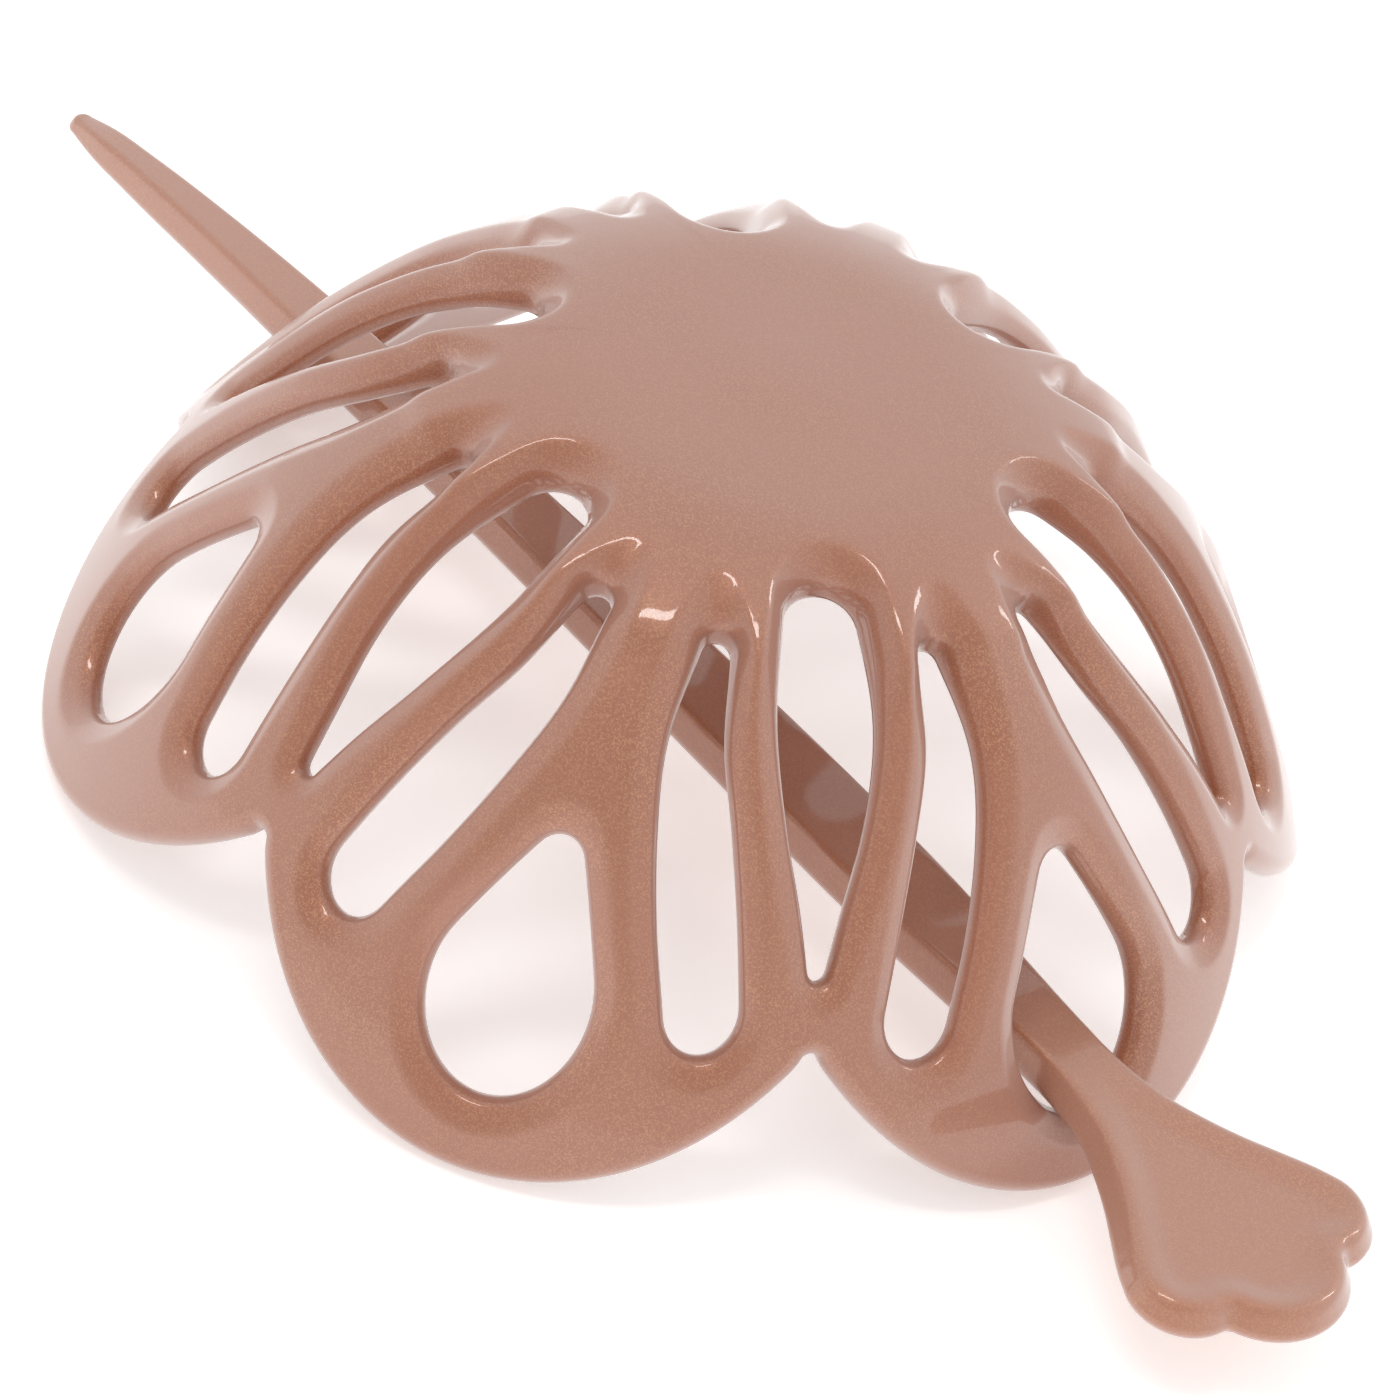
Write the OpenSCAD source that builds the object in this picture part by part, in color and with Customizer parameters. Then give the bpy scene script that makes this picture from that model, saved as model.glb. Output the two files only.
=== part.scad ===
// Openwork bun cage with its hair stick: a domed plastic cover of scalloped petals
// that sits over a hair bun, and a flat stick that pins it through two of its holes.
// Millimetres, +Z up. The origin is on the surface under the crown, +X runs along
// the stick towards its paddle, and the dome stands on its petal tips.

/* [Dome] */
// Height of the wall's middle layer at the crown
crown_h = 36; // [34:0.5:38]
// Thickness of the moulded wall
wall = 2.4; // [2:0.1:3]
// Length of the flattish crown arc, from the middle outwards
crown_len = 12; // [11:0.5:13]
// Slope of the wall where the crown arc ends
crown_slope = 7.2; // [6:0.2:9]
// Length of the shoulder arc that follows
shoulder_len = 24; // [23:0.5:25]
// Slope of the wall where the shoulder arc ends
shoulder_slope = 50.7; // [49:0.5:52]
// Length of the side arc below the shoulder
side_len = 24; // [23:0.5:25]
// Slope of the wall at the foot of the side arc, kept down to the rim
side_slope = 71.4; // [70:0.2:73]

/* [Petals] */
// Number of petals round the dome
petals = 6; // [6:1:6]
// Radius of a petal's rounded outer edge, seen square on
lobe_r = 22.2; // [21.8:0.1:22.6]
// Height of the rounded notch between two petals
notch_z = 12.4; // [12:0.1:13]
// Radius of that notch
notch_r = 0.9; // [0.7:0.1:1.1]

/* [Hair stick] */
// Height of the stick's middle line over the surface, under the crown
stick_z = 8.9; // [8.85:0.05:9.3]
// Sideways place of the stick in its two holes
stick_y = -0.8; // [-1:0.05:0]
// Drop of the gently bowed stick from its middle to a point 100 mm away
stick_bow = 3.4; // [3:0.1:4]
// Bevel along the stick's lower edges
low_bevel = 0.9; // [0.8:0.1:1]
// Thickness of the paddle's three end lobes
lobe_t = 2.8; // [2.6:0.1:3.2]
// How far the lobes' sloping sides lean in from the bottom to the top
lobe_lean = 0.9; // [0.7:0.1:1.2]

/* [Hidden] */
$fn = 96;

// Openings of one petal, laid out flat on the developed wall. Each row is a circle of
// the chain [sideways from the petal's middle line, distance from the crown, radius],
// and straight tangents join one circle to the next.
teardrop = [[0, 40.6, 2.1], [0, 50.5, 7.2]];
leaf_slot = [[4.8, 23.3, 1.1], [6.35, 30, 2.1], [8.8, 35, 2.75], [11.8, 40, 3.1], [15.3, 45.2, 3.1]];
// The slot between two petals, on the line where they meet
seam_slot = [[0, 20.5, 2.7], [0, 27.5, 3.6], [0, 34, 3], [0, 40, 1.65], [0, 44, 0.8]];

// Number of straight steps that stand for each arc of the wall's section
arc_steps = [2, 8, 5];
// Turn between two points on the round end of an opening
arc_turn = 24;
// Depth that a cutter reaches on each side of the wall's middle layer
cut_reach = 6;
// Length of wall below the side arc, a little more than the petals need
skirt_len = 6;
// Radial stretch that a rim cutter spans, and how far it reaches below the surface
rim_in = 30;
rim_out = 55;
rim_under = 4;
// The rim cutter is this wide at the notch and this wide near the surface
rim_notch_w = 20.2;
rim_low_w = 24;
rim_low_z = 6;
// The cutter stands this much higher than the point where two petals' edges cross
rim_spare = 0.3;

// Sections of the stick, from its tip to the paddle:
// [along the stick, half width below, half width on top, thickness]
stick_rows = [
    [-73.6, 0.35, 0.25, 0.9], [-72.9, 0.8, 0.55, 1.5], [-70.7, 1.15, 0.8, 2],
    [-65, 1.6, 1.1, 2.7], [-56, 2.05, 1.5, 3.1], [-45, 2.5, 1.95, 3.3],
    [-22, 3.1, 2.65, 3.4], [0, 3.65, 3.2, 3.4], [14, 3.85, 3.4, 3.4],
    [25, 3.75, 3.3, 3.4], [33, 3.3, 2.8, 3.4], [40, 2.95, 2.4, 3.4],
    [44, 3, 2.4, 3.3], [48, 3.7, 3, 3.1], [50.5, 4.75, 3.95, 3.1],
    [53.3, 6.3, 5.4, 3], [55.5, 7.75, 6.85, 2.9], [58, 9.35, 8.45, 2.8],
    [59.6, 10.15, 9.25, 2.8]];
// Lobes at the paddle's end: [along the stick, sideways, radius]
paddle_lobes = [[61.3, -6.15, 4.4], [62.5, 0, 6.1], [61.3, 6.15, 4.4]];

// Arcs of the wall's middle layer: [length, slope at the start, slope at the end]
wall_arcs = [
    [crown_len, 0, crown_slope],
    [shoulder_len, crown_slope, shoulder_slope],
    [side_len, shoulder_slope, side_slope]];

// Direction square to a wall of the given slope, as [outwards, up]
function square_to(slope) = [sin(slope), cos(slope)];
// Direction down a wall of the given slope
function down(slope) = [cos(slope), -sin(slope)];
// Radius of an arc row
function arc_r(row) = row[0] * 180 / (PI * (row[2] - row[1]));
// Point where arc number i starts, each arc going on smoothly from the last
function arc_start(i) =
    i == 0 ? [0, crown_h] : arc_start(i - 1)
        + arc_r(wall_arcs[i - 1]) * (square_to(wall_arcs[i - 1][2]) - square_to(wall_arcs[i - 1][1]));
// Centre of arc number i
function arc_centre(i) = arc_start(i) - arc_r(wall_arcs[i]) * square_to(wall_arcs[i][1]);
// Length of wall above arc number i
function above(i) = i == 0 ? 0 : above(i - 1) + wall_arcs[i - 1][0];
// Number of the arc that a distance s from the crown falls on
function arc_at(s) = s < above(1) ? 0 : s < above(2) ? 1 : 2;
// Slope of the wall at a distance s from the crown
function slope_at(s) =
    let (i = arc_at(s), row = wall_arcs[i])
    min(side_slope, row[1] + (s - above(i)) * (row[2] - row[1]) / row[0]);
// Point of the wall's middle layer at a distance s from the crown, as [radius, height]
function wall_at(s) =
    s > above(3)
        ? arc_start(3) + (s - above(3)) * down(side_slope)
        : arc_centre(arc_at(s)) + arc_r(wall_arcs[arc_at(s)]) * square_to(slope_at(s));
// Point of the developed wall [sideways, distance] put back on the dome
function on_dome(p) =
    let (turn = atan2(p[0], p[1]), w = wall_at(norm([p[0], p[1]])))
    [w[0] * cos(turn), w[0] * sin(turn), w[1]];

// Place of a dome point in the plane that touches the dome at the given spot
function in_plane(point, spot) =
    let (
        turn = atan2(spot[0], spot[1]),
        slope = slope_at(norm([spot[0], spot[1]])),
        step = point - on_dome(spot),
        out = step[0] * cos(turn) + step[1] * sin(turn))
    [out * cos(slope) - step[2] * sin(slope), step[1] * cos(turn) - step[0] * sin(turn)];

// Distances from the crown at which the wall's section has a corner
function section_stops() = concat(
    [for (i = [0:len(wall_arcs) - 1], k = [0:arc_steps[i] - 1]) above(i) + k * wall_arcs[i][0] / arc_steps[i]],
    [above(3), above(3) + skirt_len]);

// Cut through the wall: a half section of the dome
module wall_section() {
    stops = section_stops();
    outer = [for (s = stops) wall_at(s) + wall / 2 * square_to(slope_at(s))];
    inner = [for (s = stops) wall_at(s) - wall / 2 * square_to(slope_at(s))];
    polygon(concat(outer, [for (i = [len(inner) - 1:-1:0]) inner[i]]));
}

// The dome's plain wall, before anything is cut
module plain_dome() {
    rotate_extrude() wall_section();
}

// Heading from one circle of a chain to the next, and how far the tangent leans off it
function heading(a, b) = atan2(b[1] - a[1], b[0] - a[0]);
function lean(a, b) = acos((a[2] - b[2]) / norm([b[0] - a[0], b[1] - a[1]]));
// Point of a circle row at an angle
function rim_point(row, angle) = row[2] * [cos(angle), sin(angle)] + [row[0], row[1]];
// Points round a circle row from one angle to another, about every arc_turn degrees
function arc_points(row, from, to) =
    let (n = ceil(abs(to - from) / arc_turn))
    [for (i = [0:n]) rim_point(row, from + (to - from) * i / n)];
// Angle, square to the chain, of its left side (side = 1) or right side (-1) at a middle circle
function side_angle(rows, i, side) =
    (heading(rows[i - 1], rows[i]) + heading(rows[i], rows[i + 1])
        + side * (lean(rows[i - 1], rows[i]) + lean(rows[i], rows[i + 1]))) / 2;
// Outline round a whole chain: an arc at each end and straight sides between
function chain_outline(rows) =
    let (
        last = len(rows) - 1,
        first_head = heading(rows[0], rows[1]),
        first_lean = lean(rows[0], rows[1]),
        last_head = heading(rows[last - 1], rows[last]),
        last_lean = lean(rows[last - 1], rows[last]))
    concat(
        arc_points(rows[0], first_head + first_lean, first_head + 360 - first_lean),
        last < 2 ? [] : [for (i = [1:last - 1]) rim_point(rows[i], side_angle(rows, i, -1))],
        arc_points(rows[last], last_head - last_lean, last_head + last_lean),
        last < 2 ? [] : [for (i = [last - 1:-1:1]) rim_point(rows[i], side_angle(rows, i, 1))]);

// Cutter for one opening: its circles are moved from the developed wall to the plane
// that touches the dome at the opening's middle row, and reach through the wall there
module opening_cutter(rows) {
    mid = rows[floor(len(rows) / 2)];
    turn = atan2(mid[0], mid[1]);
    slope = slope_at(norm([mid[0], mid[1]]));
    flat_rows = [for (row = rows) concat(in_plane(on_dome(row), mid), [row[2]])];
    translate(on_dome(mid)) rotate([0, slope, turn])
        translate([0, 0, -cut_reach]) linear_extrude(2 * cut_reach)
            polygon(chain_outline(flat_rows));
}

// Everything below a petal's rounded edge, seen square on and run through the wall
module rim_cutter() {
    notch_top = lobe_r - sqrt(lobe_r * lobe_r - rim_notch_w * rim_notch_w) + rim_spare;
    translate([rim_in, 0, 0]) rotate([90, 0, 90]) linear_extrude(rim_out - rim_in) difference() {
        polygon([
            [-rim_low_w, -rim_under], [rim_low_w, -rim_under], [rim_low_w, rim_low_z],
            [rim_notch_w, notch_top], [-rim_notch_w, notch_top], [-rim_low_w, rim_low_z]]);
        translate([0, lobe_r]) circle(lobe_r);
    }
}

// Rounded bottom of the notch between two petals
module notch_cutter() {
    translate([rim_in, 0, notch_z - notch_r]) rotate([0, 90, 0])
        cylinder(r = notch_r, h = rim_out - rim_in);
}

// The moulded cage: dome wall, pierced and scalloped petal by petal
module cage() {
    petal_turn = 360 / petals;
    color("#be8f80") difference() {
        plain_dome();
        for (k = [0:petals - 1]) {
            rotate(k * petal_turn) {
                opening_cutter(teardrop);
                opening_cutter(leaf_slot);
                opening_cutter([for (row = leaf_slot) [-row[0], row[1], row[2]]]);
                rim_cutter();
            }
            rotate((k + 0.5) * petal_turn) {
                opening_cutter(seam_slot);
                notch_cutter();
            }
        }
    }
}

// Height of the bowed stick's middle line at a place along it
function bow_z(x) = stick_z - stick_bow * (x / 100) * (x / 100);
// Slope of that line, downwards positive
function bow_slope(x) = atan(2 * stick_bow * x / 10000);

// Corners of the stick's section at a row: flat top, sloping sides, bevelled below
function stick_section(row) =
    let (
        half = row[3] / 2,
        cut = min(low_bevel, row[1] / 2, half / 2),
        corners = [
            [row[2], half], [row[1], cut - half], [row[1] - cut, -half],
            [cut - row[1], -half], [-row[1], cut - half], [-row[2], half]])
    [for (c = corners) [row[0], c[0] + stick_y, bow_z(row[0]) + c[1]]];

// Bar of the stick and the flare of its paddle, skinned over the sections
module stick_bar() {
    last = len(stick_rows) - 1;
    sides = len(stick_section(stick_rows[0]));
    points = [for (row = stick_rows) each stick_section(row)];
    walls = [
        for (i = [1:last], j = [0:sides - 1])
            let (a = (i - 1) * sides + j, b = (i - 1) * sides + (j + 1) % sides)
            [a, b, b + sides, a + sides]];
    tip = [for (j = [sides - 1:-1:0]) j];
    end = [for (j = [0:sides - 1]) last * sides + j];
    polyhedron(points, concat(walls, [tip, end]));
}

// One round lobe of the paddle, with sloping sides like the bar's, lying along the bow
module paddle_lobe(row) {
    half = lobe_t / 2;
    translate([row[0], row[1] + stick_y, bow_z(row[0])]) rotate([0, bow_slope(row[0]), 0])
        rotate_extrude() polygon([
            [0, -half], [row[2] - low_bevel, -half], [row[2], low_bevel - half],
            [row[2] - lobe_lean, half], [0, half]]);
}

// The hair stick: a flat bowed bar with a three-lobed paddle to pull it by
module hair_stick() {
    color("#b98776") union() {
        stick_bar();
        for (row = paddle_lobes)
            paddle_lobe(row);
    }
}

cage();
hair_stick();
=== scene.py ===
import math

import bpy
import numpy as np
from mathutils import Matrix, Vector


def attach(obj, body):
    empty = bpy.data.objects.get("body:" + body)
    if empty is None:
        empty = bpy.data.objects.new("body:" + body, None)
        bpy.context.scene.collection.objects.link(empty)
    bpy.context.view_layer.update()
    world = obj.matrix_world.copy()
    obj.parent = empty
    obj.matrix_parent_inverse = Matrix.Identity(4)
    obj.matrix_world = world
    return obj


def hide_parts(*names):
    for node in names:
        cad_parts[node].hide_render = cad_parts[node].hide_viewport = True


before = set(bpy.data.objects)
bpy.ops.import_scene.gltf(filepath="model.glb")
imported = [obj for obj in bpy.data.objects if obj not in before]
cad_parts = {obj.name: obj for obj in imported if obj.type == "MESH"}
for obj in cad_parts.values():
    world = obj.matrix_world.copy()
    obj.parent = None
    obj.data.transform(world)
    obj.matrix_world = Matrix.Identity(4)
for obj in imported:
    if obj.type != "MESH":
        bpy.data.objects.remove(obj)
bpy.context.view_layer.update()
MM = 0.001


# View. The photograph looks down on the dome from the paddle's side with a long lens,
# held a little crooked, so the camera is turned about its own axis as well.
crown_height = 36.0
camera_distance = 600.0
camera_swing = math.radians(39.52)
camera_rise = math.radians(39.25)
camera_roll = math.radians(15.78)
photo_width = 1400
photo_focal = 8640.0
crown_in_photo = (778.0, 400.7)
sensor_width = 36.0

back = np.array([
    math.sin(camera_swing) * math.cos(camera_rise),
    -math.cos(camera_swing) * math.cos(camera_rise),
    math.sin(camera_rise)])
level_right = np.array([math.cos(camera_swing), math.sin(camera_swing), 0.0])
level_up = np.cross(back, level_right)
rolled_right = math.cos(camera_roll) * level_right + math.sin(camera_roll) * level_up
rolled_up = math.cos(camera_roll) * level_up - math.sin(camera_roll) * level_right
camera_spot = np.array([0.0, 0.0, crown_height]) + camera_distance * back

# The camera is aimed through the picture's middle, with the crown where the photo has it.
off_right = (photo_width / 2 - crown_in_photo[0]) / photo_focal
off_up = (crown_in_photo[1] - photo_width / 2) / photo_focal
aim_back = back - off_right * rolled_right - off_up * rolled_up
aim_back /= np.linalg.norm(aim_back)
aim_right = rolled_right - aim_back * (rolled_right @ aim_back)
aim_right /= np.linalg.norm(aim_right)
aim_up = np.cross(aim_back, aim_right)

camera_data = bpy.data.cameras.new("view")
camera_data.sensor_width = sensor_width
camera_data.lens = sensor_width * photo_focal / photo_width
camera_data.clip_end = 10.0
camera = bpy.data.objects.new("view", camera_data)
bpy.context.scene.collection.objects.link(camera)
turn = Matrix([list(row) for row in zip(aim_right, aim_up, aim_back)]).to_4x4()
camera.matrix_world = Matrix.Translation(Vector(camera_spot * MM)) @ turn
bpy.context.scene.camera = camera


# Cage. One moulding of glossy pearl plastic: a smooth crown whose edge breaks up into
# rounded ribs round curved slots, and six pillowed petals with a teardrop hole each.
# All of it is worked out on half a petal, then mirrored and turned round the dome.
petal_count = 6
half_petal = math.pi / petal_count
# Arcs of the wall from the crown down: (length, slope where it starts, slope where it
# ends), in mm and degrees.
wall_arcs = [(12.0, 0.0, 7.2), (24.0, 7.2, 50.7), (24.0, 50.7, 71.4)]


def wall_line(s):
    """Middle layer of the wall at distances s from the crown: radius, height and slope.
    The slope grows evenly along each arc, so the radius gains the arc's bend times the
    change of the slope's sine, and the height loses the same with its cosine."""
    s = np.asarray(s, float)
    radius, height, slope = np.zeros_like(s), np.full_like(s, crown_height), np.zeros_like(s)
    start = 0.0
    for length, slope_a, slope_b in wall_arcs:
        a, b = math.radians(slope_a), math.radians(slope_b)
        bend = length / (b - a)
        now = a + np.clip(s - start, 0.0, length) / bend
        radius += bend * (np.sin(now) - math.sin(a))
        height -= bend * (math.cos(a) - np.cos(now))
        slope = np.where(s > start, now, slope)
        start += length
    skirt = np.clip(s - start, 0.0, None)
    return radius + skirt * np.cos(slope), height - skirt * np.sin(slope), slope


def on_wall(flat, rise=0.0):
    """Points of the developed wall, [sideways, down the petal], put back on the dome and
    moved square to the wall by rise. Their bearing from the petal's middle line is the
    angle of the two, and their distance from the crown is the length of the two."""
    bearing = np.arctan2(flat[..., 0], flat[..., 1])
    radius, height, slope = wall_line(np.hypot(flat[..., 0], flat[..., 1]))
    out = radius + rise * np.sin(slope)
    return np.stack([out * np.cos(bearing), out * np.sin(bearing), height + rise * np.cos(slope)], -1)


def curve_through(knots, count):
    """Smooth curve through the knots: cubic pieces whose direction at a knot is that from
    its neighbour before to its neighbour after, read at count even steps of length."""
    knots = np.asarray(knots, float)
    gaps = np.linalg.norm(np.diff(knots[:, :2], axis=0), axis=1)
    at = np.concatenate([[0.0], np.cumsum(gaps)])
    lean = np.gradient(knots, at, axis=0)
    want = np.linspace(0.0, at[-1], count)
    i = np.clip(np.searchsorted(at, want, side="right") - 1, 0, len(gaps) - 1)
    t = ((want - at[i]) / gaps[i])[:, None]
    h = gaps[i][:, None]
    return ((2 * t**3 - 3 * t**2 + 1) * knots[i] + (t**3 - 2 * t**2 + t) * h * lean[i]
            + (3 * t**2 - 2 * t**3) * knots[i + 1] + (t**3 - t**2) * h * lean[i + 1])


def even_steps(line, count):
    """The same polyline read at count points, evenly spaced along its length."""
    at = np.concatenate([[0.0], np.cumsum(np.linalg.norm(np.diff(line, axis=0), axis=1))])
    want = np.linspace(0.0, at[-1], count)
    return np.stack([np.interp(want, at, line[:, k]) for k in range(line.shape[1])], -1)


# Points of a closed edge, and of the half of it that lies on one side of its middle line.
edge_points = 721
half_edge_points = 361


def slot_edge(rows):
    """Closed edge of a slot, which is the outline of a circle that moves along a curve
    and swells as it goes: rows are [sideways, down, radius]. The edge touches the circle
    where the curve's heading is leaned by the arc cosine of minus the radius's growth.
    It starts and ends at the back of the first circle and runs up the right side."""
    chain_steps, end_steps = 200, 60
    chain = curve_through(rows, chain_steps)
    step = np.gradient(chain, axis=0)
    length = np.hypot(step[:, 0], step[:, 1])
    heading = np.arctan2(step[:, 1], step[:, 0])
    lean = np.arccos(np.clip(-step[:, 2] / length, -1.0, 1.0))
    ends = np.linspace(0.0, 1.0, end_steps)
    first, last = np.zeros(end_steps, int), np.full(end_steps, -1)

    def touch(k, angle):
        return chain[k, :2] + chain[k, 2, None] * np.stack([np.cos(angle), np.sin(angle)], -1)

    every = np.arange(len(chain))
    first_half = np.pi + (np.pi - lean[0]) * ends
    right = touch(every, heading - lean)
    left = touch(every[::-1], (heading + lean)[::-1])
    parts = [
        touch(first, heading[0] + first_half),
        right,
        touch(last, heading[-1] - lean[-1] + 2 * lean[-1] * ends),
        left,
        touch(first, heading[0] + lean[0] + (np.pi - lean[0]) * ends)]
    return even_steps(np.concatenate(parts), edge_points)


def turned(flat, bearing):
    """Points of the developed wall turned about the crown by a bearing."""
    c, s = math.cos(bearing), math.sin(bearing)
    return np.stack([flat[:, 0] * c + flat[:, 1] * s, flat[:, 1] * c - flat[:, 0] * s], -1)


# Edges of the openings on the developed wall, in mm. Each row is a circle of the slot:
# [sideways from the petal's middle line, down from the crown, radius]. The seam slot
# lies on the line between two petals.
teardrop = slot_edge([[0, 40.6, 2.1], [0, 43.9, 3.8], [0, 47.2, 5.5], [0, 50.5, 7.2]])
leaf_slot = slot_edge([
    [4.55, 23.2, 1.05], [6.25, 30, 2.1], [8.8, 35, 2.75], [11.8, 40, 3.1], [15.3, 45.2, 3.1]])
seam_along = slot_edge([[0, 20.5, 2.7], [0, 27.5, 3.6], [0, 34, 3], [0, 40, 1.65], [0, 44, 0.8]])
seam_slot = turned(seam_along, half_petal)

# Scalloped rim of half a petal. Seen square on, a petal's edge is a circle that stands
# on the surface; the notch between two petals is a small circle on the line between them.
lobe_radius, notch_height, notch_radius = 22.2, 12.4, 0.9
lobe_steps, notch_steps, rim_points = 400, 40, 601


def height_to_length(height):
    """Distance from the crown at which the wall's middle layer has a height, read off the
    wall's own line between two distances that the rim stays within."""
    s = np.linspace(30.0, 68.0, 2000)
    return np.interp(-np.asarray(height, float), -wall_line(s)[1], s)


def rim_curve():
    """Rim from the petal's tip to the notch: at a height z the square-on circle is as far
    aside as the root of R squared less (R - z) squared, and its bearing is the arc sine
    of that over the wall's radius. The notch's circle takes over where it is reached."""
    z = notch_height * np.sin(np.linspace(0.0, math.pi / 2, lobe_steps)) ** 2
    aside = np.sqrt(lobe_radius**2 - (lobe_radius - z) ** 2)
    s = height_to_length(z)
    bearing = np.arcsin(np.clip(aside / wall_line(s)[0], 0.0, math.sin(half_petal)))
    lobe = s[:, None] * np.stack([np.sin(bearing), np.cos(bearing)], -1)
    axis = np.array([math.sin(half_petal), math.cos(half_petal)])
    middle = (height_to_length(notch_height) + notch_radius) * axis
    outside = np.linalg.norm(lobe - middle, axis=1) > notch_radius
    lobe = lobe[: int(np.argmin(outside)) if not outside.all() else len(lobe)]
    first = math.atan2(*(lobe[-1] - middle)[::-1])
    last = math.atan2(*(-axis)[::-1])
    turn = np.linspace(first % (2 * math.pi), last % (2 * math.pi), notch_steps)
    notch = middle + notch_radius * np.stack([np.cos(turn), np.sin(turn)], -1)
    return even_steps(np.concatenate([lobe, notch]), rim_points)


rim_edge = rim_curve()


def distance_to(points, edge):
    """Shortest straight distance from each point to an edge's polyline, both on the dome."""
    a, b = edge[:-1], edge[1:]
    run = b - a
    best = np.full(len(points), np.inf)
    batch = 2000
    for k in range(0, len(points), batch):
        gap = points[k:k + batch, None] - a
        t = np.clip((gap * run).sum(-1) / (run**2).sum(-1), 0.0, 1.0)
        best[k:k + batch] = np.linalg.norm(gap - t[..., None] * run, axis=-1).min(1)
    return best


def soft_step(x):
    """Smooth rise from 0 to 1 with no slope at either end."""
    x = np.clip(x, 0.0, 1.0)
    return x * x * (3 - 2 * x)


def mirrored(flat):
    """Points of the developed wall on the other side of the petal's middle line."""
    return flat * np.array([-1.0, 1.0])


# A dish lies round each opening, and its shoulder is the outline of a wider circle that
# moves along: rows are [sideways, down, radius] as for the openings. A dish is kept as
# its opening's edge and the circles of its shoulder.
shoulder_steps = 90
tear_dish = (teardrop, curve_through([
    [0, 39.3, 3.3], [0, 43.9, 5.8], [0, 47.2, 7.4], [0, 50.6, 9.2]], shoulder_steps))
leaf_dish = (leaf_slot, curve_through([
    [3.15, 20.3, 1.4], [4.1, 23.5, 2.7], [5.95, 30, 4.1], [8.6, 35, 4.7], [11.7, 40, 5.1],
    [15.2, 45.4, 5.0]], shoulder_steps))
seam_chain = curve_through([
    [0, 19.6, 4], [0, 27.5, 5.3], [0, 34, 4.8], [0, 40, 3.5], [0, 44.2, 2.5]], shoulder_steps)
seam_dish = (seam_slot, np.column_stack([turned(seam_chain[:, :2], half_petal), seam_chain[:, 2]]))


def inside_dish(flat, dish):
    """How far each point of the developed wall lies inside a dish's shoulder. For one of
    its circles that is (R squared less the distance to its middle squared) over 2 R,
    which has no crease along the dish's middle, and the most of these counts."""
    best = np.full(flat.shape[:-1], -np.inf)
    for across, down, radius in dish[1]:
        apart = (flat[..., 0] - across) ** 2 + (flat[..., 1] - down) ** 2
        best = np.maximum(best, (radius**2 - apart) / (2 * radius))
    return best


# Middle lines of the ribs, which part the wall into one cell round each opening.
crown_reach = 12.5
rib_split = math.radians(20)
on_crown = crown_reach * np.array([math.sin(rib_split), math.cos(rib_split)])
stem_fork = np.array([0.0, 34.0])
rim_fork = np.array([12.5, 53.5])
notch_fork = np.array([21.6, 42.6])
rim_middle = np.array([0.0, 60.6])
notch_neck = 47.6 * np.array([math.sin(half_petal), math.cos(half_petal)])


def between(knots, dish_a, dish_b, count, lead=0):
    """Line through the knots, shifted sideways until it runs midway between two openings:
    each point moves by half the difference of its two gaps. Its ends stay in place, and
    so do the first points, as many as the lead."""
    ease_in, ease_out, nudge, rounds = 9.0, 5.0, 0.1, 4
    line = curve_through(knots, count)
    number = np.arange(count)
    hold = soft_step(np.minimum((number - lead) / ease_in, number[::-1] / ease_out))[:, None]
    for _ in range(rounds):
        points = on_wall(line)
        off = distance_to(points, on_wall(dish_b[0])) - distance_to(points, on_wall(dish_a[0]))
        way = np.gradient(line, axis=0)
        aside = np.stack([-way[:, 1], way[:, 0]], -1) / np.hypot(way[:, 0], way[:, 1])[:, None]
        ahead = distance_to(on_wall(line + nudge * aside), on_wall(dish_b[0]))
        sign = np.sign(distance_to(points, on_wall(dish_b[0])) - ahead)[:, None]
        line = line + hold * sign * aside * off[:, None] / 2
    return line


stem_stops = np.concatenate([np.linspace(34, 26.5, 8)[:-1], np.linspace(26.5, 21, 14)[:-1],
                             np.linspace(21, crown_reach, 10)])
rib_lines = {
    "leaf_seam": between([on_crown, [5.0, 15.6], [6.0, 19.0], [7.4, 22.4], [9.1, 26.4], [12, 31.3],
                          [16.3, 36.6], notch_fork], leaf_dish, seam_dish, 50, lead=11),
    "rim_leaf": curve_through([notch_fork, [20.8, 47.6], [17.9, 51], rim_fork], 22),
    "leaf_tear": between([rim_fork, [10, 48], [8.1, 44.7], [6.1, 42], [3.4, 38.3], stem_fork],
                         leaf_dish, tear_dish, 28),
    "rim_tear": curve_through([rim_fork, [8, 58.2], rim_middle], 22),
    "stem": np.column_stack([np.zeros(30), stem_stops]),
    "rim_seam": even_steps(np.stack([notch_fork, notch_neck]), 6)}

# Ring of the crown that the ribs grow out of, in half a petal's sector.
crown_left = np.linspace(0.0, rib_split, 12)
crown_right = np.linspace(rib_split, half_petal, 8)
crown_left = crown_reach * np.stack([np.sin(crown_left), np.cos(crown_left)], -1)
crown_right = crown_reach * np.stack([np.sin(crown_right), np.cos(crown_right)], -1)

# Rounding of the openings' edges and of the rim, with the angles of its rows.
edge_round, rim_round = 0.45, 1.2
outer_turns, inner_turns = np.linspace(0.0, math.pi / 2, 6), np.linspace(0.0, math.pi / 2, 4)
# How far an edge's points are pulled to the border's, and how often that is smoothed.
facing_pull, facing_rounds = 0.75, 6


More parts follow.
